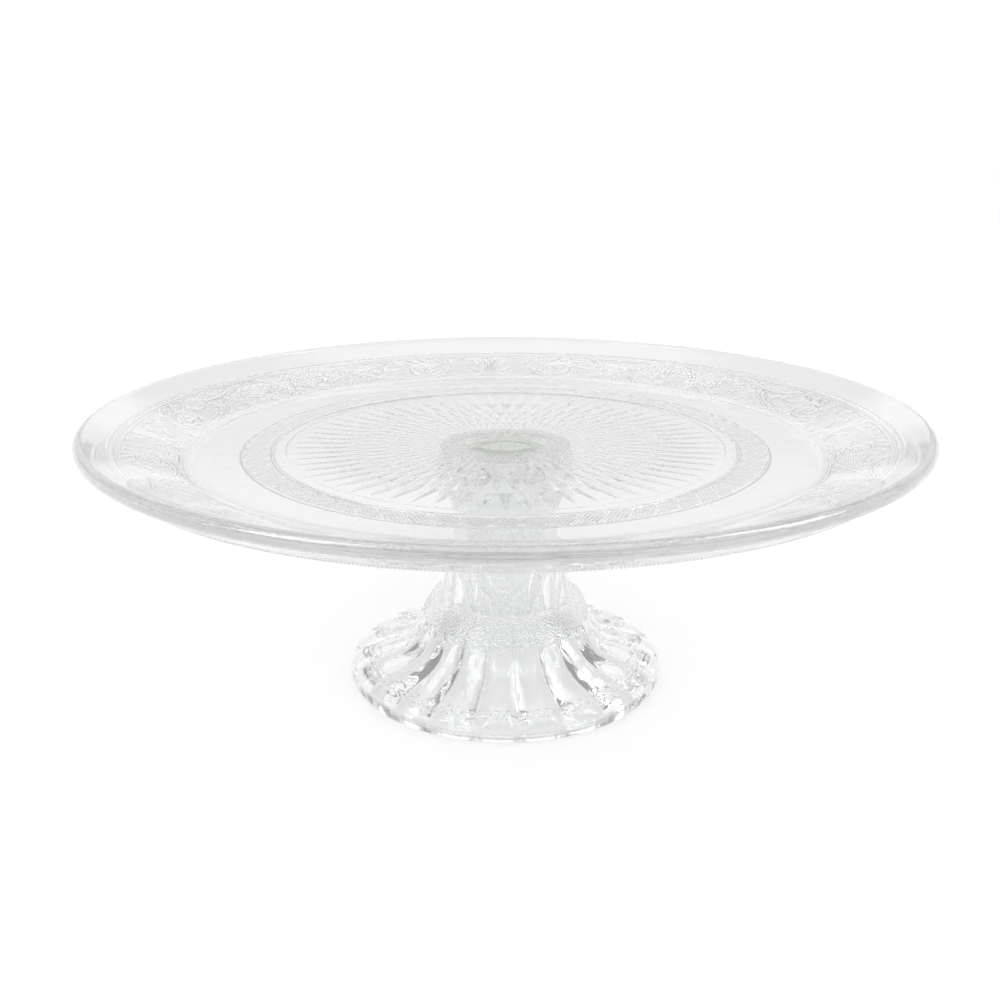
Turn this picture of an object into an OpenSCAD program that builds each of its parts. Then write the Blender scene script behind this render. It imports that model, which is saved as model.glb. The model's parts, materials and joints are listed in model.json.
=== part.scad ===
// Cake stand of clear pressed glass. A wide plate, patterned on its underside, is cemented
// to the closed crown of a hollow, fluted pedestal.
// Millimetres, +Z up. The origin is on the axis, in the plane that the foot stands on.

/* [Overall] */
// Height from the table to the top of the rim
stand_h = 112; // [104:1:124]

/* [Plate] */
// Diameter over the rim
plate_d = 320; // [300:5:340]
// Thickness of the flat floor
floor_t = 5; // [4:0.5:6.5]
// Height of the rim above the floor
rim_rise = 13; // [10:1:15]
// Thickness of the rounded rim
rim_t = 5.2; // [4.4:0.2:6]
// Width of the sloping border, from the floor to the rim
border_w = 38; // [34:1:42]
// Width of the plain band between the rim and the ornament
plain_w = 9.8; // [8:0.2:12]
// Radius of the bend between the floor and the border
knee_r = 30; // [20:1:40]

/* [Underside relief] */
// Radius of the sunburst that the rays fill
sun_r = 84.6; // [78:0.2:88]
// Number of rays in the sunburst
rays = 64; // [32:4:72]
// Depth of the grooves between the rays
ray_depth = 0.8; // [0.4:0.1:1.2]
// Outer radius of the textured ring round the sunburst
ring_r = 101.3; // [96:0.1:104]
// Width of the textured ring
ring_w = 10.3; // [8:0.1:12]
// Radius of the beaded lines along both edges of the ornament
bead_r = 0.9; // [0.6:0.1:1.1]

/* [Pedestal] */
// Diameter of the foot
foot_d = 128; // [120:0.5:136]
// Number of flutes round the foot
flutes = 22; // [18:1:26]
// Turn of the first groove away from the front
groove_turn = 5.2; // [0:0.1:20]
// Height of the plain band at the edge of the foot
foot_edge_h = 5; // [4:0.2:6]
// Radius of the rounding above that band
foot_edge_r = 5; // [4:0.5:6]
// Radius under the collar, where the flutes begin
collar_r = 34; // [32:0.5:37]
// Height of the underside of the collar
collar_z = 26; // [24:0.5:29]
// Radius where the flutes stop sweeping outwards and begin to dome over the foot
shoulder_r = 46; // [43:0.5:49]
// Height of that shoulder
shoulder_z = 14.7; // [13.5:0.1:16]
// Radius of the stem just above the collar
stem_r = 27; // [26:0.1:29]
// Radius of the narrowest part of the stem
waist_r = 22; // [20.5:0.5:24]
// Radius of the crown under the plate
crown_r = 26; // [25:0.5:30]
// Height of the straight part of the crown
crown_h = 16; // [10:1:20]

/* [Hollow] */
// Radius of the hollow where the foot is open
mouth_r = 56; // [52:0.5:57]
// Radius of the hollow inside the stem
bore_r = 16.4; // [14:0.2:17]
// Thickness of the closed crown over the hollow
crown_t = 7.6; // [6:0.2:9]
// Rounding at the closed end of the hollow
dome_r = 5.4; // [3:0.2:6]

/* [Cement] */
// Thickness of the clear cement between the crown and the plate
cement_t = 0.4; // [0.2:0.1:0.8]
// Radius that the cement has spread to
cement_r = 17; // [14:0.5:24]

/* [Hidden] */
$fn = 96;
turn = 360;
front = -90;
slack = 1;

// The plate's own heights and radii
plate_r = plate_d / 2;
floor_z = stand_h - rim_rise;
under_z = floor_z - floor_t;
floor_r = plate_r - border_w;
rim_centre = [plate_r - rim_t / 2, stand_h - rim_t / 2];
to_rim = rim_centre - [floor_r, floor_z];
slope = atan2(to_rim[1], to_rim[0]) + asin(rim_t / 2 / norm(to_rim));
knee_centre = [floor_r - knee_r * tan(slope / 2), floor_z + knee_r];

// The ornament band hangs lower than the plain band outside it
band_out = [plate_r - plain_w, under_z + (rim_rise - floor_t)];
band_in = [floor_r + bead_r, under_z];
band_slope = atan2(band_out[1] - band_in[1], band_out[0] - band_in[0]);
band_edge_w = 1.6;
bead_gap = 2.2;
line_r = bead_r * 0.6;

// Relief in the floor
ring_in_r = ring_r - ring_w;
ring_depth = 0.6;
ring_row_w = 2.4;
ring_rows = 3;
groove_half_w = 1.5;
rays_from_r = sun_r * 0.55;

// The pedestal's own heights
cement_z = under_z - cement_t;
crown_edge = 1;
foot_r = foot_d / 2;
stem_z = 34;
waist_z = stem_z + (cement_z - stem_z) * 0.45;
crown_z = cement_z - crown_h;
collar_mid = [collar_r - 1.3, collar_z + 3];
collar_top = [stem_r + 2.9, stem_z - 0.5];
skirt_bend = 46;
dome_bend = -14;
dome_end_angle = 65;
bell_bend = 38;
edge_centre = [foot_r - foot_edge_r, foot_edge_h];
dome_end = edge_centre + foot_edge_r * [cos(dome_end_angle), sin(dome_end_angle)];
foot_chamfer = [1.4, 3];
stem_steps = 8;
swell_steps = 6;
stem_power = 1.7;

// The grooves lie under the skirt's crest: shallow at the collar, deep at the foot's edge
groove_from = [collar_r - 0.6, collar_z - 1];
groove_to = [foot_r - 2.5, foot_edge_h + 2.6];
groove_bend = 50;
groove_half_angle = 50;
groove_reach = 4.2;
groove_past_end = 8;
groove_inset = 2.6;

// Points on an arc about a centre, from one angle to another
function arc(centre, radius, from, to, steps) =
    [for (i = [0 : steps]) centre + radius * [cos(from + (to - from) * i / steps),
                                              sin(from + (to - from) * i / steps)]];

// Radius and centre of the arc that leaves a, bends upwards by a given angle, and reaches b;
// an arc with a negative angle bends downwards, and so does its radius
function bend_radius(a, b, bend) = norm(b - a) / (2 * sin(bend / 2));
function bend_centre(a, b, bend) =
    (a + b) / 2 + [a[1] - b[1], b[0] - a[0]] / norm(b - a) * bend_radius(a, b, bend) * cos(bend / 2);
function angle_to(centre, point) = atan2(point[1] - centre[1], point[0] - centre[0]);

// Points of a sweep between two points of the pedestal's outline
function sweep(a, b, bend, steps) =
    let (c = bend_centre(a, b, bend))
    arc(c, abs(bend_radius(a, b, bend)), angle_to(c, a), angle_to(c, b), steps);

// Radius of the stem at a height: it narrows to the waist and swells again into the crown
function stem_at(z) = z < waist_z
    ? waist_r + (stem_r - waist_r) * pow((waist_z - z) / (waist_z - stem_z), stem_power)
    : waist_r + (crown_r - waist_r) * (1 - cos(180 * (z - waist_z) / (crown_z - waist_z))) / 2;

module plate() {
    color("azure", 0.6)
    difference() {
        rotate_extrude() plate_section();
        floor_rings();
        ray_grooves();
    }
}

// Half of the plate's section: a smooth top, a rounded rim, and an underside in steps
module plate_section() {
    polygon(concat(
        [[0, under_z], [0, floor_z]],
        arc(knee_centre, knee_r, -90, -90 + slope, 6),
        [rim_centre + rim_t / 2 * [-sin(slope), cos(slope)]],
        arc(rim_centre, rim_t / 2, 90, 0, 6),
        arc(rim_centre, rim_t / 2, 0, slope - 90, 4),
        [band_out + [band_edge_w, 0.4], band_out],
        half_round(band_out, -bead_r - line_r, bead_r),
        half_round(band_out, -bead_gap - bead_r, line_r),
        half_round(band_in, bead_gap + bead_r, line_r),
        half_round(band_in, bead_r + line_r, bead_r),
        [band_in]));
}

// Points of a ridge with a half-round section, at a distance along the ornament band
function half_round(from, along, radius) =
    arc(from + along * [cos(band_slope), sin(band_slope)], radius, band_slope, band_slope - 180, 6);

// Shallow rings of texture, sunk into the underside of the floor
module floor_rings() {
    pitch = ring_w / ring_rows;
    for (i = [0 : ring_rows - 1])
        rotate_extrude()
            translate([ring_in_r + pitch * (i + 0.5), under_z])
            polygon([[-ring_row_w / 2, -slack], [ring_row_w / 2, -slack],
                     [ring_row_w / 2, 0], [0, ring_depth], [-ring_row_w / 2, 0]]);
}

// Grooves between the rays of the sunburst
module ray_grooves() {
    for (i = [0 : rays - 1])
        rotate([0, 0, turn * i / rays])
        translate([rays_from_r, 0, under_z])
        rotate([90, 0, 90])
        linear_extrude(sun_r - rays_from_r)
        polygon([[-groove_half_w, 0], [-groove_half_w, -slack], [groove_half_w, -slack],
                 [groove_half_w, 0], [0, ray_depth]]);
}

// The clear cement that holds the plate on the crown
module adhesive_bond() {
    color("ivory", 0.6)
    translate([0, 0, cement_z]) cylinder(h = cement_t, r = cement_r);
}

module pedestal() {
    color("azure", 0.6)
    difference() {
        rotate_extrude() pedestal_section();
        rotate_extrude() hollow_section();
        flute_grooves();
    }
}

// Half of the pedestal's outline: crown, stem, collar, skirt, dome and the edge of the foot
module pedestal_section() {
    stem_h = waist_z - stem_z;
    swell_h = crown_z - waist_z;
    polygon(concat(
        [[0, 0], [0, cement_z], [crown_r - crown_edge, cement_z], [crown_r, cement_z - crown_edge]],
        [for (i = [swell_steps : -1 : 0]) let (z = waist_z + swell_h * i / swell_steps) [stem_at(z), z]],
        [for (i = [stem_steps - 1 : -1 : 0]) let (z = stem_z + stem_h * i / stem_steps) [stem_at(z), z]],
        [collar_top, collar_mid],
        sweep([collar_r, collar_z], [shoulder_r, shoulder_z], skirt_bend, 7),
        [for (i = [1 : 3]) sweep([shoulder_r, shoulder_z], dome_end, dome_bend, 3)[i]],
        arc(edge_centre, foot_edge_r, 52, 0, 4),
        [[foot_r, foot_chamfer[1]], [foot_r - foot_chamfer[0], 0]]));
}

// Half of the hollow: a bell inside the foot, then a tapered bore with a rounded closed end
module hollow_section() {
    end_z = cement_z - crown_t;
    waist = [bore_r, waist_z - 6];
    throat = [bore_r + 5.6, stem_z - 1];
    polygon(concat(
        [[0, -slack], [mouth_r, -slack], [mouth_r, 0]],
        [for (i = [7 : -1 : 0]) sweep(throat, [mouth_r - 3, 3.2], bell_bend, 7)[i]],
        [waist],
        arc([bore_r - dome_r, end_z - dome_r], dome_r, 0, 90, 4),
        [[0, end_z]]));
}

// The grooves between the flutes, each one cut by a wheel with a sharp edge
module flute_grooves() {
    centre = bend_centre(groove_from, groove_to, groove_bend);
    wheel_r = bend_radius(groove_from, groove_to, groove_bend);
    from = angle_to(centre, groove_from) + groove_inset;
    to = angle_to(centre, groove_to) + groove_past_end;
    half_w = groove_reach * tan(groove_half_angle);
    for (i = [0 : flutes - 1])
        rotate([0, 0, front + groove_turn + turn * i / flutes])
        translate([centre[0], 0, centre[1]])
        rotate([90, 0, 0])
        rotate([0, 0, from])
        rotate_extrude(angle = to - from)
        polygon([[wheel_r, 0], [wheel_r - groove_reach, half_w], [wheel_r - groove_reach, -half_w]]);
}

plate();
adhesive_bond();
pedestal();
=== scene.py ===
"""The looks of the pressed-glass cake stand, built round its CAD frame.

Lengths inside the shape code are millimetres in the CAD frame, and metres once a mesh is made.
The plate and the pedestal are each one closed glass skin: rings of points that run from the
middle of the top, over the edge, and back to the middle of the underside.
"""
import json
import math

import bpy
import numpy as np
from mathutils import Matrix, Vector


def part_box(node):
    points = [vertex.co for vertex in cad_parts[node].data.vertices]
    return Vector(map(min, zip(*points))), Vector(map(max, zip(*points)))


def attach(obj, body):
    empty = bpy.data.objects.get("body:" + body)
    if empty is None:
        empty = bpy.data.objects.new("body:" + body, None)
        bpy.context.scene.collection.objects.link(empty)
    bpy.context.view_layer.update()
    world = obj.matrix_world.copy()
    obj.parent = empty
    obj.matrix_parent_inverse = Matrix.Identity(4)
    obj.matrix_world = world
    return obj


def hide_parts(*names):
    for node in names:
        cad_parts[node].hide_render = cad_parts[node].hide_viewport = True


MM = 0.001
TURN = 2 * math.pi

# ---------------------------------------------------------------- the studio

# Brightness of the wall behind the stand and of the rest of the room, by the sine of the angle
# above the horizon
WALL = ((0.09, 1.1), (0.14, 0.7), (0.25, 0.75), (0.34, 1.0), (0.40, 0.95), (0.46, 0.42),
        (0.62, 0.25), (0.82, 0.2), (0.90, 2.1))
ROOM = ((0.10, 1.05), (0.17, 0.35), (0.82, 0.4), (0.90, 2.1))
ROOM_PEAK = 2.1
# The wall fades in between these values of the Y of a direction
WALL_FADE = (0.6, 0.78)

# Name, place in metres, width and height in metres, and power in watts of each lamp
LAMPS = (("softbox_left", (-0.75, -0.45, 0.9), (0.5, 0.6), 7.0),
         ("softbox_right", (0.8, -0.1, 0.8), (0.35, 0.6), 4.5))
LAMP_TARGET = (0.0, 0.0, 0.06)

# Place in metres, degrees that the camera looks down, lens in millimetres, and sideways shift
CAMERA_PLACE = (0.0, -0.4473, 0.2179)
CAMERA_PITCH = 17.83
CAMERA_LENS = 42.28
CAMERA_SHIFT = -0.0056

# Half the floor's width in metres, its own faint light, and the two greys of its grain
FLOOR_HALF = 6.0
FLOOR_GLOW = 0.74
FLOOR_GREY = (0.27, 0.30)

# Colour left of white light after one pass through the wall of each piece
PLATE_TINT = (0.845, 0.855, 0.85)
PEDESTAL_TINT = (0.885, 0.895, 0.89)
GLASS_IOR = 1.5
CEMENT_TINT = (0.985, 0.985, 0.97)
CEMENT_IOR = 1.48
# Height in millimetres of the faint waves in each fire-polished skin
PLATE_WAVE = 0.03
PEDESTAL_WAVE = 0.12

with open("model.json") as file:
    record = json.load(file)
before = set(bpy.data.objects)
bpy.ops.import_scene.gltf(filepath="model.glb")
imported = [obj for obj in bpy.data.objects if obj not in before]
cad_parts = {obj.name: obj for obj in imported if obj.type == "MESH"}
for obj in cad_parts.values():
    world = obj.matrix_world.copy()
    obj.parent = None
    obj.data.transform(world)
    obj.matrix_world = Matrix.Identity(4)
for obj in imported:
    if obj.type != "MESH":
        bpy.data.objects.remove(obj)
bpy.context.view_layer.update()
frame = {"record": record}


def box_mm(node):
    """The lowest and highest corners of a CAD node, in millimetres."""
    low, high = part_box(node)
    return np.array(low) / MM, np.array(high) / MM


def mount_mm(name):
    """Where a mount of the record lies, in millimetres."""
    mount = next(m for m in frame["record"]["mounts"] if m["name"] == name)
    return np.array(mount["pos_m"]) / MM


# ---------------------------------------------------------------- sizes from the frame

PLATE_R = box_mm("plate")[1][0]
RIM_TOP_Z = box_mm("plate")[1][2]
FLOOR_Z = mount_mm("cake_face")[2]
UNDER_Z = box_mm("adhesive_bond")[1][2]
CROWN_Z = box_mm("pedestal")[1][2]
BOND_R = box_mm("adhesive_bond")[1][0]
FOOT_R = box_mm("pedestal")[1][0]

# ---------------------------------------------------------------- the plate's own sizes

RIM_T = 5.2
FLOOR_R = PLATE_R - 38.0
KNEE_R = 30.0

# The ornament band, between its outer and inner edge
BAND_OUT = np.array([PLATE_R - 9.8, UNDER_Z + 8.0])
BAND_IN = np.array([FLOOR_R + 0.9, UNDER_Z])
BAND_MID_R = (BAND_OUT[0] + BAND_IN[0]) / 2
BAND_LIP = (1.3, 0.9)
BAND_COLUMNS = 4608
BAND_ROWS = 78
PEARLS = 768
PEARL_H = 0.62
PEARL_ROWS = ((BAND_OUT[0] - 0.6, PEARL_H), (BAND_IN[0] + 0.2, PEARL_H * 0.9))
STIPPLES = 480
STIPPLE_H = 0.42
# The drawing of the band lies between two pairs of thin lines, as high as they are half wide
DRAWN_IN_R = BAND_IN[0] + 2.6
DRAWN_OUT_R = BAND_OUT[0] - 4.2
LINE_RADII = (DRAWN_OUT_R + 0.5, DRAWN_OUT_R + 1.9, DRAWN_IN_R - 0.4, DRAWN_IN_R - 1.5)
LINE_H = 0.55
MIRRORED_SECTORS = 8
ORNAMENT_TURN = math.radians(3.4)

# The textured ring, the plain channel inside it and the star
RING_OUT_R = 101.3
RING_IN_R = 91.0
RING_CELLS = 64
RING_SINK = 0.2
RING_H = 0.45
CHANNEL_SINK = 0.3
SUN_R = 84.6
SUN_RAYS = 64
SUN_STEPS = (17.8, 21.8, 26.5, 32.0, 39.5, 50.0, 66.0, SUN_R)
SUN_DEPTH = 0.06
SUN_SINK = 0.6
SUN_ROW = 0.9

# ---------------------------------------------------------------- the pedestal's own sizes

FLUTES = 22
# The first groove lies 5.2 degrees past the front
GROOVE_TURN = math.radians(-90 + 5.2)
PEDESTAL_COLUMNS = FLUTES * 40
CROWN_R = FOOT_R - 38.0
CROWN_ROUND = 1.4
STEM_Z = 34.0
COLLAR_Z = 26.0
COLLAR_R = FOOT_R - 30.0
MOUTH_R = 56.0
BORE_R = 16.4
DOME_R = 5.4
CROWN_T = 7.6

# Outlines from the crown down to the table, and from the mouth of the hollow up to its end
STEM_LINE = ((CROWN_R, CROWN_Z - CROWN_ROUND), (CROWN_R, 85.0), (25.4, 78.0), (23.6, 71.5),
             (22.2, 64.5), (22.2, 58.0), (23.1, 51.0), (24.6, 44.0), (26.1, 38.0),
             (27.1, STEM_Z + 0.9))
COLLAR_LINE = ((28.3, STEM_Z + 0.7), (29.6, STEM_Z - 0.3), (31.2, 31.2), (32.6, 28.6),
               (33.5, COLLAR_Z + 0.5))
SKIRT_LINE = ((COLLAR_R - 0.4, COLLAR_Z - 0.1), (36.7, 21.2), (40.2, 17.4), (44.8, 15.1),
              (51.5, 13.3), (57.6, 11.2), (61.9, 8.7), (63.6, 6.9), (FOOT_R, 5.0),
              (FOOT_R - 0.1, 3.2), (FOOT_R - 0.8, 1.3), (FOOT_R - 1.9, 0.0))
BELL_LINE = ((MOUTH_R + 0.3, 0.1), (MOUTH_R - 3.0, 2.9), (46.0, 6.9), (38.0, 12.4), (30.0, 20.6),
             (BORE_R + 6.2, 31.0), (BORE_R + 2.2, 42.0), (BORE_R + 0.5, 50.0), (BORE_R, 57.0),
             (BORE_R, 70.0), (BORE_R, 78.0))
# Step between the rings along each outline
STEM_ROW = 0.3
COLLAR_ROW = 0.32
SKIRT_ROW = 0.62
BELL_ROW = 0.4

# Tongues of the stem: their height, their roundness, and how sharply their ends curve
TONGUE_H = 1.4
TONGUE_FULLNESS = 0.96
STANDING_TOP_Z = 50.3
STANDING_DROP = 7.8
HANGING_END_Z = 76.5
HANGING_RISE = 5.0
TONGUE_END_POWER = 2.4
TONGUE_LEDGE = 1.2

# Diamonds of the collar: count, pitch and height; how soon they fade at its edges; and how far
# the ground between them lies under the outline
COLLAR_STUDS = FLUTES * 5
COLLAR_PITCH = 1.8
COLLAR_STUD_H = 0.9
COLLAR_FADE = 0.7
COLLAR_SINK = 0.1
# Height of the waves in the collar's edges, and how soon they die away down the skirt
EDGE_WAVE = 0.6
EDGE_WAVE_LENGTH = 1.5

# Flutes: depth beside the collar, how much deeper they are at the foot, and over what length
FLUTE_H = 1.1
FLUTE_GROWTH = 2.4
FLUTE_GROWS_OVER = 18.0
CREASE_H = 0.3
CREASE_GROWTH = 0.4
CREASE_W = 0.5
CREASE_WIDENS = 0.6
# Height of the plain band at the foot's edge, and what is left of the flutes on it
FOOT_BAND_Z = 6.2
FOOT_BAND_FADE = 1.5
FLUTE_ON_BAND = 0.08
# All relief of the skirt dies away below this height
FOOT_EDGE_FADE = 1.2
# The small hollow at the start of each flute: depth, half width as a share of half a flute,
# place and half length
DIMPLE_H = 0.9
DIMPLE_SHARE = 0.4
DIMPLE_PLACE = 1.2
DIMPLE_LENGTH = 0.8

# Studs inside the mouth of the hollow
GRIP_STUDS = 110
GRIP_H = 0.75
GRIP_PITCH = 1.6
GRIP_START = 2.2
GRIP_END = GRIP_START + 3 * GRIP_PITCH

# ---------------------------------------------------------------- the cement's own sizes

# How far the cement laps into each glass face
WETTING = 0.12
BOND_COLUMNS = 192
BOND_SHRINK = 0.985
# Count, size and start of the waves round the cement's edge
BOND_WAVES = ((3, 0.012, 0.7), (7, 0.008, 0.0), (16, 0.005, 2.0))


# ---------------------------------------------------------------- profiles and curves

def arc(centre, radius, start, end, steps):
    """Points on an arc, from one angle in degrees to another."""
    angles = np.radians(np.linspace(start, end, steps + 1))
    return np.array(centre) + radius * np.stack([np.cos(angles), np.sin(angles)], 1)


def smooth_path(points, steps=8):
    """A Catmull-Rom curve through a few given points."""
    p = np.array(points, float)
    p = np.concatenate([[2 * p[0] - p[1]], p, [2 * p[-1] - p[-2]]])
    t = np.linspace(0, 1, steps, endpoint=False)[:, None]
    parts = []
    for a, b, c, d in zip(p[:-3], p[1:-2], p[2:-1], p[3:]):
        cubic = 3 * b - a - 3 * c + d
        square = 2 * a - 5 * b + 4 * c - d
        parts.append((2 * b + (c - a) * t + square * t ** 2 + cubic * t ** 3) / 2)
    return np.concatenate(parts + [p[-2:-1]])


def distance_to(path, s, t):
    """How far each point (s, t) is from a path of straight pieces."""
    best = np.full(s.shape, np.inf)
    for a, b in zip(path[:-1], path[1:]):
        run = b - a
        along = ((s - a[0]) * run[0] + (t - a[1]) * run[1]) / max(run @ run, 1e-9)
        along = np.clip(along, 0, 1)
        away = (s - a[0] - along * run[0]) ** 2 + (t - a[1] - along * run[1]) ** 2
        best = np.minimum(best, away)
    return np.sqrt(best)


def dome(distance, radius):
    """A half-round bump or ridge of height 1, by the distance from its middle."""
    return np.sqrt(np.clip(1 - (distance / radius) ** 2, 0, 1))


# ---------------------------------------------------------------- a skin of rings

class Skin:
    """Rings of points round the Z axis, joined into one closed surface of quads and triangles."""

    def __init__(self):
        self.points = []
        self.faces = {3: [], 4: []}
        self.count = 0
        self.last = None

    def ring(self, radius, height, columns):
        """Adds a ring and joins it to the last one; the column count may stay, double or halve."""
        if columns == 1:
            new = self._add(np.zeros(1), np.zeros(1), np.array([height], float))
        else:
            angle = np.arange(columns) * TURN / columns
            radius = np.broadcast_to(radius, columns)
            height = np.broadcast_to(height, columns)
            new = self._add(radius * np.cos(angle), radius * np.sin(angle), height)
        if self.last is not None:
            self._join(self.last, new)
        self.last = new

    def _add(self, x, y, z):
        index = np.arange(self.count, self.count + len(x))
        self.points.append(np.stack([x, y, z], 1))
        self.count += len(x)
        return index

    def _join(self, a, b):
        an, bn = np.roll(a, -1), np.roll(b, -1)
        if len(a) == 1:
            self.faces[3].append(np.stack([np.repeat(a, len(b)), b, bn], 1))
        elif len(b) == 1:
            self.faces[3].append(np.stack([a, np.repeat(b, len(a)), an], 1))
        elif len(a) == len(b):
            self.faces[4].append(np.stack([a, b, bn, an], 1))
        elif len(b) == 2 * len(a):
            left, mid, right = b[0::2], b[1::2], np.roll(b[0::2], -1)
            self.faces[3] += [np.stack(f, 1) for f in ((a, left, mid), (a, mid, an), (an, mid, right))]
        elif len(a) == 2 * len(b):
            left, mid, right = a[0::2], a[1::2], np.roll(a[0::2], -1)
            self.faces[3] += [np.stack(f, 1) for f in ((left, b, mid), (mid, b, bn), (mid, bn, right))]
        else:
            raise ValueError(f"rings of {len(a)} and {len(b)} columns don't join")

    def make(self, name, material):
        """The finished Blender object, in metres and shaded smooth."""
        points = np.concatenate(self.points) * MM
        loops = []
        totals = []
        for corners, parts in self.faces.items():
            for part in parts:
                loops.append(part.ravel())
                totals.append(np.full(len(part), corners))
        loops = np.concatenate(loops).astype(np.int32)
        totals = np.concatenate(totals)
        starts = np.concatenate([[0], np.cumsum(totals)[:-1]]).astype(np.int32)
        mesh = bpy.data.meshes.new(name)
        mesh.vertices.add(len(points))
        mesh.vertices.foreach_set("co", points.ravel())
        mesh.loops.add(len(loops))
        mesh.loops.foreach_set("vertex_index", loops)
        mesh.polygons.add(len(totals))
        mesh.polygons.foreach_set("loop_start", starts)
        mesh.polygons.foreach_set("use_smooth", np.ones(len(totals), bool))
        mesh.update(calc_edges=True)
        mesh.validate()
        mesh.materials.append(material)
        piece = bpy.data.objects.new(name, mesh)
        bpy.context.scene.collection.objects.link(piece)
        return piece


# ---------------------------------------------------------------- relief of the ornament band

def arc_mm(degrees):
    """Distance along the middle of the ornament band, from an angle within a mirrored sector."""
    return math.radians(degrees) * BAND_MID_R


def on_band(points):
    """Points given as (degrees from the sector's edge, millimetres out from the band's middle)."""
    return [(arc_mm(a), out) for a, out in points]


def ribbon(s, t, points, half_width, height, side_line=0.0):
    """A half-round ridge along a smooth curve, with a thin line on each side if asked."""
    d = distance_to(smooth_path(points), s, t)
    relief = height * dome(d, half_width)
    if side_line:
        relief = np.maximum(relief, 0.55 * height * dome(d - side_line, 0.42))
    return relief


def leaf(s, t, start, end, half_width, height):
    """A pointed leaf from start to end, with a groove along its middle."""
    start, end = np.array(start), np.array(end)
    run = end - start
    length = np.linalg.norm(run)
    along = ((s - start[0]) * run[0] + (t - start[1]) * run[1]) / length ** 2
    across = ((s - start[0]) * run[1] - (t - start[1]) * run[0]) / length
    width = half_width * np.sin(np.pi * np.clip(along, 0, 1)) ** 0.8 + 1e-6
    return height * dome(across, width) * (1 - 0.35 * np.exp(-(across / 0.22) ** 2))


def rosette(s, t, centre, radius, petals, height):
    """A small round flower with a boss in its middle."""
    x, y = s - centre[0], t - centre[1]
    d, a = np.hypot(x, y), np.arctan2(y, x)
    edge = radius * (0.8 + 0.2 * np.abs(np.cos(a * petals / 2)))
    folds = 0.45 + 0.55 * np.abs(np.cos(a * petals / 2))
    petal = height * folds * dome(d - 0.62 * edge, 0.42 * edge)
    return np.maximum(petal, height * 1.1 * dome(d, 0.26 * radius))


def fan(s, t, centre, inner, outer, start, end, ribs, height):
    """Ribs that spread like a palm leaf, each one wider and rounder towards its tip."""
    x, y = s - centre[0], t - centre[1]
    d, a = np.hypot(x, y), np.degrees(np.arctan2(y, x))
    step = (end - start) / ribs
    which = np.clip(np.floor((a - start) / step), 0, ribs - 1)
    middle = start + (which + 0.5) * step
    across = np.radians(a - middle) * d
    half_width = np.radians(step) * d * 0.44
    tip = np.clip((outer - d) / (0.18 * outer), 0, 1)
    root = np.clip((d - inner) / 1.0, 0, 1)
    inside = (a > start) & (a < end)
    return np.where(inside, height * dome(across, half_width + 1e-6) * np.sqrt(tip) * root, 0)


def spiral(centre, size, turns, start, squash):
    """Points of a volute that winds into its own middle."""
    u = np.linspace(0, 1, 22)
    a = np.radians(start) + turns * TURN * u
    radius = size * (1 - 0.62 * u)
    x, y = centre[0] + radius * np.cos(a), centre[1] + squash * radius * np.sin(a)
    return np.stack([x, y], 1)


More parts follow.
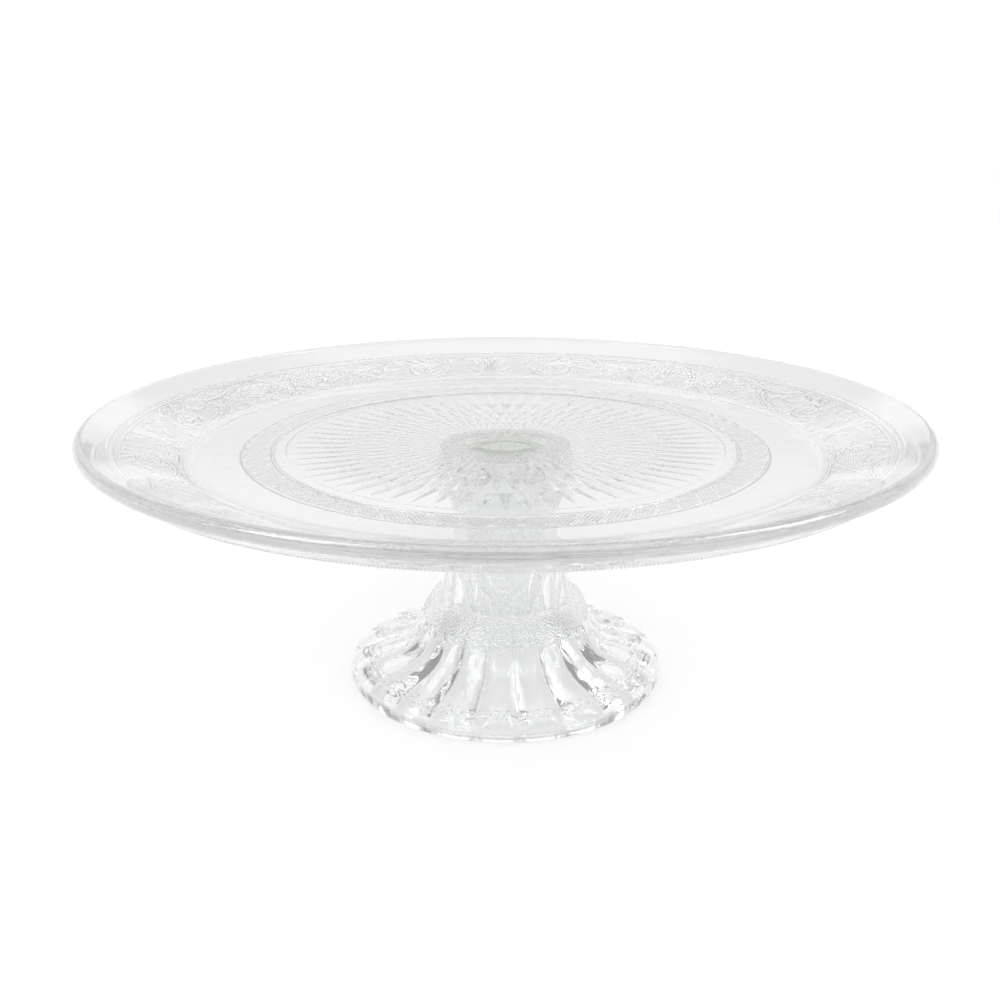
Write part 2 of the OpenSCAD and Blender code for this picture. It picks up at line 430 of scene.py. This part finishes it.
def ornament_relief(s, t):
    """Height of the scrolls, leaves, fans and flowers of one mirrored sector."""
    volute = np.array([arc_mm(14.0), -0.6])
    palm = np.array([arc_mm(38.2), -7.0])
    parts = [
        # the long scroll that rises over the palm leaf and comes down to the sector's far edge
        ribbon(s, t, on_band([(21.6, 10.2), (22.6, 7.2), (25.0, 4.6), (28.0, 4.0), (31.0, 5.6),
                              (34.0, 8.3), (37.2, 9.7), (40.2, 8.7), (42.6, 5.0), (44.0, 0.2),
                              (44.8, -5.6)]),
               0.85, 1.0, side_line=1.75),
        # the band that sweeps under the volute and up into the palm leaf
        ribbon(s, t, on_band([(9.3, -2.6), (10.3, -6.4), (12.6, -9.2), (16.2, -10.4), (20.0, -9.2),
                              (23.4, -6.2), (26.6, -2.0), (29.4, 1.6)]),
               1.0, 0.95, side_line=1.9),
        ribbon(s, t, spiral(volute, 8.9, 1.35, 205, 0.76), 0.8, 0.85),
        rosette(s, t, volute, 3.4, 8, 0.9),
        # the palm leaf and the small one at its root
        fan(s, t, palm, 4.2, 14.2, 22, 158, 11, 0.8),
        rosette(s, t, palm, 3.4, 6, 0.95),
        fan(s, t, palm, 3.6, 6.0, 165, 375, 9, 0.6),
        # leaves between the volute and the outer edge
        leaf(s, t, (arc_mm(12.2), 5.6), (arc_mm(15.2), 11.4), 0.95, 0.9),
        leaf(s, t, (arc_mm(14.0), 5.2), (arc_mm(17.6), 11.0), 0.95, 0.9),
        leaf(s, t, (arc_mm(16.2), 4.0), (arc_mm(19.8), 9.4), 0.85, 0.8),
        leaf(s, t, (arc_mm(10.4), 5.0), (arc_mm(10.9), 10.4), 0.85, 0.8),
        # the leaves at the foot of the long scroll
        leaf(s, t, (arc_mm(44.9), -3.0), (arc_mm(40.6), -12.0), 1.2, 0.85),
        leaf(s, t, (arc_mm(45.0), -6.6), (arc_mm(43.2), -12.4), 1.0, 0.8),
        leaf(s, t, (arc_mm(30.4), -3.4), (arc_mm(33.2), -11.6), 1.1, 0.8),
        leaf(s, t, (arc_mm(27.4), -5.6), (arc_mm(28.4), -12.0), 1.0, 0.75),
        leaf(s, t, (arc_mm(24.8), -9.0), (arc_mm(21.6), -12.4), 0.8, 0.7),
        # the curls beside the start of the scroll
        ribbon(s, t, on_band([(19.6, 8.0), (18.4, 4.4), (19.4, 1.2), (21.6, 0.4), (22.6, 2.4),
                              (21.4, 3.6)]),
               0.65, 0.75),
        rosette(s, t, (arc_mm(24.5), 0.0), 2.3, 6, 0.85),
        # the vase on the sector's near edge, its four drops and its foot
        ribbon(s, t, on_band([(0.9, 10.6), (0.55, 7.0), (0.25, 2.4), (0.3, -1.6), (0.9, -5.4),
                              (2.5, -9.0), (4.4, -10.8)]),
               0.75, 0.95, side_line=1.6),
        leaf(s, t, (arc_mm(2.0), 2.0), (arc_mm(3.7), 7.4), 1.1, 0.85),
        leaf(s, t, (arc_mm(2.2), -5.6), (arc_mm(4.6), 0.4), 1.0, 0.8),
        fan(s, t, (0.0, -13.6), 2.2, 7.0, 20, 160, 7, 0.7),
        rosette(s, t, (arc_mm(5.6), 8.6), 1.8, 5, 0.7),
        leaf(s, t, (arc_mm(5.2), -11.6), (arc_mm(8.6), -8.2), 0.9, 0.7),
        leaf(s, t, (arc_mm(7.4), 2.0), (arc_mm(8.6), 9.6), 1.0, 0.75),
    ]
    return np.max(parts, axis=0)


def stipple_relief(angle, radius):
    """The ground of the band: small pointed studs in staggered rows."""
    pitch = TURN * BAND_MID_R / STIPPLES
    u = angle * STIPPLES / TURN
    v = (radius - BAND_IN[0]) / pitch
    stud = 0.5 - 0.25 * (np.cos(TURN * (u + v)) + np.cos(TURN * (u - v)))
    return STIPPLE_H * stud ** 1.3


def pearl_row(angle, radius, row_r, size):
    """A row of pearls at one radius."""
    pitch = TURN / PEARLS
    across = (angle / pitch - np.round(angle / pitch)) * pitch * row_r
    return size * dome(np.hypot(across, radius - row_r), size)


def band_relief(angle, radius):
    """Everything on the ornament band, as a height below the plain slope."""
    sector = TURN / MIRRORED_SECTORS
    turned = np.mod(angle - ORNAMENT_TURN, 2 * sector)
    folded = np.minimum(turned, 2 * sector - turned)
    s = folded * BAND_MID_R
    t = radius - BAND_MID_R
    relief = np.maximum(ornament_relief(s, t), stipple_relief(angle, radius))
    inside = np.minimum(radius - DRAWN_IN_R, DRAWN_OUT_R - radius)
    relief = relief * np.clip(inside / 0.5, 0, 1)
    for row_r, size in PEARL_ROWS:
        relief = np.maximum(relief, pearl_row(angle, radius, row_r, size))
    for line_r in LINE_RADII:
        relief = np.maximum(relief, LINE_H * dome(radius - line_r, LINE_H))
    return relief


# ---------------------------------------------------------------- relief of the floor

def sun_relief(angle, radius):
    """Long diamonds in staggered rows, like a cut star; each is a low pyramid."""
    steps = np.array(SUN_STEPS)
    row = np.interp(radius, steps, np.arange(len(steps)))
    column = angle * SUN_RAYS / TURN
    tips = len(steps) - 1
    height = 0
    for stagger in (0, 1):
        middle = 2 * np.round((row - tips - 1 + stagger) / 2) + tips + 1 - stagger
        across = np.abs(column + 0.5 * stagger - np.round(column + 0.5 * stagger)) * 2
        along = np.abs(row - middle)
        height = np.maximum(height, (1 - across - along) * (middle < tips))
    pitch = TURN * radius / SUN_RAYS
    inside = (radius > steps[0]) & (radius < steps[-1])
    return np.where(inside, np.clip(height, 0, 1) * SUN_DEPTH * pitch, 0)


def ring_relief(angle, radius):
    """The textured ring: diamonds filled with fine studs, and small fans between them."""
    column = angle * RING_CELLS / TURN
    u = (column - np.round(column)) * 2
    v = (radius - (RING_IN_R + RING_OUT_R) / 2) / ((RING_OUT_R - RING_IN_R) / 2)
    rim = np.abs(u) + np.abs(v)
    studs = np.abs(np.sin(np.pi * 2.5 * (u + v)) * np.sin(np.pi * 2.5 * (u - v)))
    diamond = 0.75 * studs ** 0.7 * np.clip((0.94 - rim) / 0.1, 0, 1)
    ribs = np.abs(np.sin(np.pi * 3 * (1 - np.abs(u)) / np.clip(np.abs(v), 0.2, 1)))
    between = 0.6 * ribs * np.clip((rim - 1.06) / 0.12, 0, 1)
    frame_line = 0.5 * dome(rim - 1.0, 0.1)
    edge = np.clip((1 - np.abs(v)) / 0.08, 0, 1)
    return np.maximum(np.maximum(diamond, between), frame_line) * edge


# ---------------------------------------------------------------- the plate

def border_shape():
    """The centre of the rim's rounding, the slope of the border in degrees, the centre of its bend."""
    rim = np.array([PLATE_R - RIM_T / 2, RIM_TOP_Z - RIM_T / 2])
    to_rim = rim - (FLOOR_R, FLOOR_Z)
    rise = math.atan2(to_rim[1], to_rim[0]) + math.asin(RIM_T / 2 / np.linalg.norm(to_rim))
    knee = np.array([FLOOR_R - KNEE_R * math.tan(rise / 2), FLOOR_Z + KNEE_R])
    return rim, math.degrees(rise), knee


def square_below(slope):
    """The unit vector that points down, square to a slope in degrees."""
    a = math.radians(slope)
    return np.array([math.sin(a), -math.cos(a)])


def add_top(skin, coarse):
    """The smooth top: the flat floor, the bend, and the border up to the rim."""
    rim, slope, knee = border_shape()
    skin.ring(0, FLOOR_Z, 1)
    for radius, columns in ((3, coarse // 16), (8, coarse // 8), (18, coarse // 4), (34, coarse // 2),
                            (60, coarse), (95, coarse)):
        skin.ring(radius, FLOOR_Z, columns)
    for r, z in arc(knee, KNEE_R, -90, slope - 90, 8):
        skin.ring(r, z, coarse)
    start = knee + KNEE_R * square_below(slope)
    end = arc(rim, RIM_T / 2, 90 + slope, 0, 1)[0]
    for share in (0.25, 0.5, 0.75):
        r, z = start + (end - start) * share
        skin.ring(r, z, coarse)


def add_rim(skin, coarse):
    """The rounded rim, and the plain slope under it, down to the ornament band."""
    rim, slope, _ = border_shape()
    for r, z in arc(rim, RIM_T / 2, 90 + slope, 0, 10):
        skin.ring(r, z, 2 * coarse)
    for r, z in arc(rim, RIM_T / 2, 0, slope - 90, 8)[1:]:
        skin.ring(r, z, 2 * coarse)
    start = rim + RIM_T / 2 * square_below(slope)
    end = BAND_OUT + BAND_LIP
    for share, columns in ((0.3, 4 * coarse), (0.7, 4 * coarse), (1.0, BAND_COLUMNS)):
        r, z = start + (end - start) * share
        skin.ring(r, z, columns)


def add_band(skin):
    """The ornament band, from just outside its pearls to just inside them."""
    angle = np.arange(BAND_COLUMNS) * TURN / BAND_COLUMNS
    start, end = BAND_OUT + (0.4, 0.1), BAND_IN - (1.0, 0.0)
    for share in np.linspace(0, 1, BAND_ROWS):
        r, z = start + (end - start) * share
        skin.ring(r, z - band_relief(angle, np.full(BAND_COLUMNS, r)), BAND_COLUMNS)


def add_half_round(skin, middle, size, reach, rows, columns):
    """A thin half-round ring that hangs from the underside of the floor."""
    for away in np.linspace(reach, -reach, rows):
        skin.ring(middle + away, UNDER_Z - size * dome(away, size), columns)


def add_textured_ring(skin, columns):
    """The plain floor up to the textured ring, and the ring between its two thin edges."""
    for radius in (FLOOR_R - 0.6, FLOOR_R - 1.2, FLOOR_R - 4, 112, RING_OUT_R + 4, RING_OUT_R + 1.6,
                   RING_OUT_R + 1.1):
        skin.ring(radius, UNDER_Z, columns)
    add_half_round(skin, RING_OUT_R + 0.3, 0.45, 0.4, 5, columns)
    angle = np.arange(columns) * TURN / columns
    for radius in np.linspace(RING_OUT_R - 0.4, RING_IN_R + 0.4, 24):
        skin.ring(radius, UNDER_Z + RING_SINK - RING_H * ring_relief(angle, radius), columns)
    add_half_round(skin, RING_IN_R - 0.6, 0.6, 0.7, 7, columns)


def add_star(skin, columns):
    """The plain channel inside the ring, and the star sunk into the middle of the floor."""
    for radius in (RING_IN_R - 1.4, RING_IN_R - 1.7, RING_IN_R - 3.2, SUN_R + 1.2, SUN_R + 0.8):
        skin.ring(radius, UNDER_Z + CHANNEL_SINK, columns)
    for radius in (SUN_R + 0.3, SUN_R + 0.1):
        skin.ring(radius, UNDER_Z + SUN_SINK, columns)
    angle = np.arange(columns) * TURN / columns
    inwards = SUN_STEPS[::-1]
    for outer, inner in zip(inwards[:-1], inwards[1:]):
        rows = max(7, round((outer - inner) / SUN_ROW))
        for radius in np.linspace(outer, inner, rows, endpoint=False):
            relief = sun_relief(angle, np.full(columns, radius))
            skin.ring(radius, UNDER_Z + SUN_SINK - relief, columns)
    skin.ring(SUN_STEPS[0], UNDER_Z + SUN_SINK, columns)


def add_seat(skin, coarse):
    """The flat middle of the underside, where the cement is."""
    for radius, columns in ((SUN_STEPS[0] - 0.6, 2 * coarse), (BOND_R - 1, coarse), (13, coarse // 2),
                            (9, coarse // 4), (5, coarse // 8), (2, coarse // 16)):
        skin.ring(radius, UNDER_Z, columns)
    skin.ring(0, UNDER_Z, 1)


def plate_skin():
    """Smooth top, rounded rim, and the whole pattern on the underside."""
    skin = Skin()
    coarse = BAND_COLUMNS // 8
    add_top(skin, coarse)
    add_rim(skin, coarse)
    add_band(skin)
    add_textured_ring(skin, 4 * coarse)
    add_star(skin, 2 * coarse)
    add_seat(skin, coarse)
    return skin


# ---------------------------------------------------------------- the pedestal

def across_flute(columns):
    """Where each column lies across its flute: 0 on the crest, 1 and -1 in the grooves."""
    angle = np.arange(columns) * TURN / columns
    u = (angle - GROOVE_TURN) * FLUTES / TURN
    return 2 * (u - np.floor(u)) - 1


def tongue_fall(x):
    """Depth across a tongue at x, from 0 on its crest to 1 in the groove beside it."""
    low = math.sqrt(1 - TONGUE_FULLNESS ** 2)
    return (1 - np.sqrt(1 - (TONGUE_FULLNESS * x) ** 2)) / (1 - low)


def tongue_depth(x, z):
    """How far the stem lies under its outline: tongues stand on the collar and hang from the crown."""
    end = np.abs(x) ** TONGUE_END_POWER
    standing_top = STANDING_TOP_Z - STANDING_DROP * end
    hanging_end = HANGING_END_Z + HANGING_RISE * end
    into_tongue = np.maximum(standing_top - z, z - hanging_end)
    on_tongue = np.sqrt(np.clip(into_tongue / TONGUE_LEDGE, 0, 1))
    return TONGUE_H * (1 - on_tongue * (1 - tongue_fall(x)))


def collar_relief(angle, along):
    """Fine diamonds on the collar."""
    u = (angle - GROOVE_TURN) * COLLAR_STUDS / TURN
    v = along / COLLAR_PITCH
    return COLLAR_STUD_H * np.abs(np.sin(np.pi * (u + v)) * np.sin(np.pi * (u - v)))


def edge_wave(x):
    """Height of the wavy edges of the collar: low on the crests and high in the grooves."""
    return -EDGE_WAVE * np.cos(np.pi * x)


def flute_depth(x, r, z, along):
    """How far the skirt lies under its outline: convex flutes with a narrow crease between them."""
    growing = np.clip(along / FLUTE_GROWS_OVER, 0, 1)
    from_groove = (1 - np.abs(x)) * TURN / FLUTES / 2 * r
    crease_w = CREASE_W + CREASE_WIDENS * growing
    crease = (CREASE_H + CREASE_GROWTH * growing) * np.exp(-(from_groove / crease_w) ** 2)
    flute = (FLUTE_H + FLUTE_GROWTH * growing) * np.abs(x) ** 3
    above_band = np.clip((z - FOOT_BAND_Z) / FOOT_BAND_FADE, 0, 1)
    share = FLUTE_ON_BAND + (1 - FLUTE_ON_BAND) * above_band
    along_dimple = (along - DIMPLE_PLACE) / DIMPLE_LENGTH
    dimple = DIMPLE_H * np.exp(-(x / DIMPLE_SHARE) ** 2 - along_dimple ** 2)
    return ((flute + crease) * share + dimple) * np.clip(z / FOOT_EDGE_FADE, 0, 1)


def evenly(points, step):
    """A curve through given points, with new points at even steps along it."""
    curve = smooth_path(points, 24)
    length = np.concatenate([[0], np.cumsum(np.linalg.norm(np.diff(curve, axis=0), axis=1))])
    at = np.linspace(0, length[-1], round(length[-1] / step) + 1)
    return np.stack([np.interp(at, length, curve[:, k]) for k in (0, 1)], 1), at


def outward(curve):
    """Unit normals of an outline that runs down and away from the axis."""
    run = np.gradient(curve, axis=0)
    run = run / np.linalg.norm(run, axis=1)[:, None]
    return np.stack([-run[:, 1], run[:, 0]], 1)


def add_crown_and_stem(skin, n, x):
    """The flat crown and the stem with its two rows of round-ended tongues."""
    skin.ring(0, CROWN_Z, 1)
    for radius, columns in ((4, n // 16), (8, n // 8), (13, n // 4), (19, n // 2), (CROWN_R - 1.8, n)):
        skin.ring(radius, CROWN_Z, columns)
    for out, up in arc((0, 0), 1, 80, 20, 3):
        inset = CROWN_ROUND * (1 - out) + TONGUE_H * tongue_fall(x) * out
        skin.ring(CROWN_R - inset, CROWN_Z - CROWN_ROUND * (1 - up), n)
    for r, z in evenly(STEM_LINE, STEM_ROW)[0]:
        skin.ring(r - tongue_depth(x, z), z, n)


def add_collar(skin, n, x, angle):
    """The collar of fine diamonds, with wavy edges that follow the tongues and the flutes."""
    curve, at = evenly(COLLAR_LINE, COLLAR_ROW)
    for (r, z), along, (out_r, out_z) in zip(curve, at, outward(curve)):
        inside = np.clip(min(along, at[-1] - along) / COLLAR_FADE, 0, 1)
        relief = inside * collar_relief(angle, along) - COLLAR_SINK
        skin.ring(r + out_r * relief, z + out_z * relief + edge_wave(x), n)


def add_skirt(skin, n, x):
    """The flutes, from the collar's wavy lower edge to the plain band of the foot."""
    curve, at = evenly(SKIRT_LINE, SKIRT_ROW)
    for (r, z), along, (out_r, out_z) in zip(curve, at, outward(curve)):
        depth = flute_depth(x, r, z, along)
        wave = edge_wave(x) * np.exp(-along / EDGE_WAVE_LENGTH)
        skin.ring(r - out_r * depth, np.maximum(z - out_z * depth + wave, 0), n)


def grip_studs(angle, along):
    """Small round studs in rows, between 0 and 1, by angle and by millimetres across the rows."""
    u = angle * GRIP_STUDS / TURN
    v = along / GRIP_PITCH / 2
    return np.abs(np.sin(np.pi * (u + v)) * np.sin(np.pi * (u - v)))


def add_foot_ring(skin, n):
    """The flat ring that the stand rests on."""
    for radius in np.linspace(FOOT_R - 2.6, MOUTH_R + 0.6, 5):
        skin.ring(radius, 0, n)


def add_hollow(skin, n, angle):
    """The bell inside the foot, studded near its mouth, and the bore that ends in a dome."""
    curve, at = evenly(BELL_LINE, BELL_ROW)
    near_mouth = at < GRIP_END
    for (r, z), along in zip(curve[near_mouth], at[near_mouth]):
        share = (along - GRIP_START) / (GRIP_END - GRIP_START)
        fade = math.sqrt(max(0, math.sin(math.pi * share)))
        skin.ring(r, z + GRIP_H * fade * grip_studs(angle, along), n)
    for r, z in curve[~near_mouth][2::3]:
        skin.ring(r, z, n // 2)
    end_z = CROWN_Z - CROWN_T
    for r, z in arc((BORE_R - DOME_R, end_z - DOME_R), DOME_R, 0, 90, 8):
        skin.ring(r, z, n // 2)
    for radius, columns in ((8, n // 4), (5, n // 8), (2, n // 16)):
        skin.ring(radius, end_z, columns)
    skin.ring(0, end_z, 1)


def pedestal_skin():
    """The crown, stem, collar, skirt and foot, then the hollow inside."""
    skin = Skin()
    n = PEDESTAL_COLUMNS
    angle = np.arange(n) * TURN / n
    x = across_flute(n)
    add_crown_and_stem(skin, n, x)
    add_collar(skin, n, x, angle)
    add_skirt(skin, n, x)
    add_foot_ring(skin, n)
    add_hollow(skin, n, angle)
    return skin


# ---------------------------------------------------------------- the cement

def bond_skin():
    """A thin clear disc that wets both glass faces, with an edge that squeezed out unevenly."""
    skin = Skin()
    columns = BOND_COLUMNS
    angle = np.arange(columns) * TURN / columns
    uneven = 1 + sum(size * np.sin(count * angle + start) for count, size, start in BOND_WAVES)
    edge_r = BOND_R * uneven * BOND_SHRINK
    top, bottom = UNDER_Z + WETTING, CROWN_Z - WETTING
    flat = ((0.3, columns // 4), (0.65, columns // 2))
    skin.ring(0, top, 1)
    for share, here in flat:
        skin.ring(share * BOND_R, top, here)
    for inset, height in ((0.5, top), (0.15, top - 0.08), (0.35, (top + bottom) / 2),
                          (0.15, bottom + 0.08), (0.5, bottom)):
        skin.ring(edge_r - inset, height, columns)
    for share, here in flat[::-1]:
        skin.ring(share * BOND_R, bottom, here)
    skin.ring(0, bottom, 1)
    return skin


# ---------------------------------------------------------------- materials

def new_material(name):
    """A material with only a Principled node, and that node."""
    material = bpy.data.materials.new(name)
    material.use_nodes = True
    return material, material.node_tree.nodes["Principled BSDF"]


def add_node(owner, kind, inputs=(), **settings):
    """A node of a material or world, with its settings and its inputs' values."""
    node = owner.node_tree.nodes.new(kind)
    for key, value in settings.items():
        setattr(node, key, value)
    for key, value in dict(inputs).items():
        node.inputs[key].default_value = value
    return node


def pressed_glass(name, tint, wave):
    """Clear glass with a fire-polished skin: faint waves, and streaks that are less polished."""
    material, surface = new_material(name)
    surface.inputs["Base Color"].default_value = (*tint, 1)
    surface.inputs["Transmission Weight"].default_value = 1
    surface.inputs["IOR"].default_value = GLASS_IOR
    links = material.node_tree.links
    place = add_node(material, "ShaderNodeTexCoord")
    streaks = add_node(material, "ShaderNodeTexNoise", {"Scale": 60.0, "Detail": 3.0})
    polish = add_node(material, "ShaderNodeMapRange",
                      {"From Min": 0.35, "From Max": 0.75, "To Min": 0.0, "To Max": 0.05})
    links.new(place.outputs["Object"], streaks.inputs["Vector"])
    links.new(streaks.outputs["Fac"], polish.inputs["Value"])
    links.new(polish.outputs["Result"], surface.inputs["Roughness"])
    waves = add_node(material, "ShaderNodeTexNoise", {"Scale": 130.0, "Detail": 1.5})
    bump = add_node(material, "ShaderNodeBump", {"Strength": 1.0, "Distance": wave * MM})
    links.new(place.outputs["Object"], waves.inputs["Vector"])
    links.new(waves.outputs["Fac"], bump.inputs["Height"])
    links.new(bump.outputs["Normal"], surface.inputs["Normal"])
    return material


def clear_cement(name):
    """Cured adhesive: clear, with a few tiny bubbles in its surface."""
    material, surface = new_material(name)
    surface.inputs["Base Color"].default_value = (*CEMENT_TINT, 1)
    surface.inputs["Transmission Weight"].default_value = 1
    surface.inputs["IOR"].default_value = CEMENT_IOR
    links = material.node_tree.links
    place = add_node(material, "ShaderNodeTexCoord")
    bubbles = add_node(material, "ShaderNodeTexVoronoi", {"Scale": 420.0})
    polish = add_node(material, "ShaderNodeMapRange",
                      {"From Min": 0.0, "From Max": 0.25, "To Min": 0.2, "To Max": 0.02})
    links.new(place.outputs["Object"], bubbles.inputs["Vector"])
    links.new(bubbles.outputs["Distance"], polish.inputs["Value"])
    links.new(polish.outputs["Result"], surface.inputs["Roughness"])
    return material


def pale_floor(name):
    """A matt, nearly white studio sheet with the faintest paper grain."""
    material, surface = new_material(name)
    surface.inputs["Roughness"].default_value = 0.9
    surface.inputs["Specular IOR Level"].default_value = 0.1
    surface.inputs["Emission Color"].default_value = (1, 1, 1, 1)
    surface.inputs["Emission Strength"].default_value = FLOOR_GLOW
    links = material.node_tree.links
    place = add_node(material, "ShaderNodeTexCoord")
    grain = add_node(material, "ShaderNodeTexNoise", {"Scale": 300.0, "Detail": 4.0})
    shade = add_node(material, "ShaderNodeValToRGB")
    for stop, grey in zip(shade.color_ramp.elements, FLOOR_GREY):
        stop.color = (grey, grey, grey, 1)
    links.new(place.outputs["Object"], grain.inputs["Vector"])
    links.new(grain.outputs["Fac"], shade.inputs["Fac"])
    links.new(shade.outputs["Color"], surface.inputs["Base Color"])
    return material


# ---------------------------------------------------------------- stage, light and camera

def set_camera():
    """The photograph's view: a little above the rim, tilted down, the stand just right of centre."""
    camera = bpy.data.cameras.new("camera")
    camera.sensor_width = 36.0
    camera.lens = CAMERA_LENS
    camera.shift_x = CAMERA_SHIFT
    camera.clip_start = 0.01
    holder = bpy.data.objects.new("camera", camera)
    holder.location = CAMERA_PLACE
    holder.rotation_euler = (math.radians(90 - CAMERA_PITCH), 0, 0)
    bpy.context.scene.collection.objects.link(holder)
    bpy.context.scene.camera = holder


def add_floor():
    """A pale sheet far wider than the view."""
    mesh = bpy.data.meshes.new("studio_floor")
    signs = ((-1, -1), (1, -1), (1, 1), (-1, 1))
    corners = [(x * FLOOR_HALF, y * FLOOR_HALF, 0) for x, y in signs]
    mesh.from_pydata(corners, [], [(0, 1, 2, 3)])
    mesh.materials.append(pale_floor("studio_floor"))
    floor = bpy.data.objects.new("studio_floor", mesh)
    bpy.context.scene.collection.objects.link(floor)


def add_area(name, place, size, power):
    """A soft rectangular lamp that faces the stand."""
    lamp = bpy.data.lights.new(name, "AREA")
    lamp.shape = "RECTANGLE"
    lamp.size, lamp.size_y = size
    lamp.energy = power
    holder = bpy.data.objects.new(name, lamp)
    holder.location = place
    away = np.array(place) - np.array(LAMP_TARGET)
    flat = math.hypot(away[0], away[1])
    holder.rotation_euler = (math.atan2(flat, away[2]), 0, math.atan2(away[0], -away[1]))
    bpy.context.scene.collection.objects.link(holder)


def follow_light_far():
    """Lets light find its way through many layers of glass before it is given up."""
    cycles = bpy.context.scene.cycles
    cycles.max_bounces = 48
    cycles.transmission_bounces = 48
    cycles.glossy_bounces = 24
    cycles.diffuse_bounces = 6


def add_ramp(world, stops):
    """A colour ramp with the given brightness at each height of the room."""
    ramp = add_node(world, "ShaderNodeValToRGB")
    elements = ramp.color_ramp.elements
    while len(elements) < len(stops):
        elements.new(0.5)
    for element, (height, brightness) in zip(elements, stops):
        element.position = height
        element.color = (*[brightness / ROOM_PEAK] * 3, 1)
    return ramp


def set_world():
    """A white wall behind the stand and a bright ceiling, in a dimmer room that draws the glass."""
    world = bpy.data.worlds.new("studio")
    world.use_nodes = True
    background = world.node_tree.nodes["Background"]
    background.inputs["Strength"].default_value = ROOM_PEAK
    links = world.node_tree.links
    place = add_node(world, "ShaderNodeTexCoord")
    split = add_node(world, "ShaderNodeSeparateXYZ")
    wall = add_ramp(world, WALL)
    room = add_ramp(world, ROOM)
    edge = add_node(world, "ShaderNodeMapRange",
                    {"From Min": WALL_FADE[0], "From Max": WALL_FADE[1]})
    both = add_node(world, "ShaderNodeMix", data_type="RGBA")
    links.new(place.outputs["Generated"], split.inputs["Vector"])
    links.new(split.outputs["Z"], wall.inputs["Fac"])
    links.new(split.outputs["Z"], room.inputs["Fac"])
    links.new(split.outputs["Y"], edge.inputs["Value"])
    links.new(edge.outputs["Result"], both.inputs["Factor"])
    links.new(room.outputs["Color"], both.inputs["A"])
    links.new(wall.outputs["Color"], both.inputs["B"])
    links.new(both.outputs["Result"], background.inputs["Color"])
    bpy.context.scene.world = world


# ---------------------------------------------------------------- the whole scene

bpy.context.scene.view_settings.view_transform = "Standard"
follow_light_far()
set_camera()
set_world()
for lamp in LAMPS:
    add_area(*lamp)
add_floor()

plate_glass = pressed_glass("plate_glass", PLATE_TINT, PLATE_WAVE)
plate = plate_skin().make("glass_plate", plate_glass)
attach(plate, "root")
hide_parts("plate")

pedestal_glass = pressed_glass("pedestal_glass", PEDESTAL_TINT, PEDESTAL_WAVE)
pedestal = pedestal_skin().make("glass_pedestal", pedestal_glass)
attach(pedestal, "root")
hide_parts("pedestal")

bond = bond_skin().make("cement_film", clear_cement("clear_cement"))
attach(bond, "root")
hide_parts("adhesive_bond")
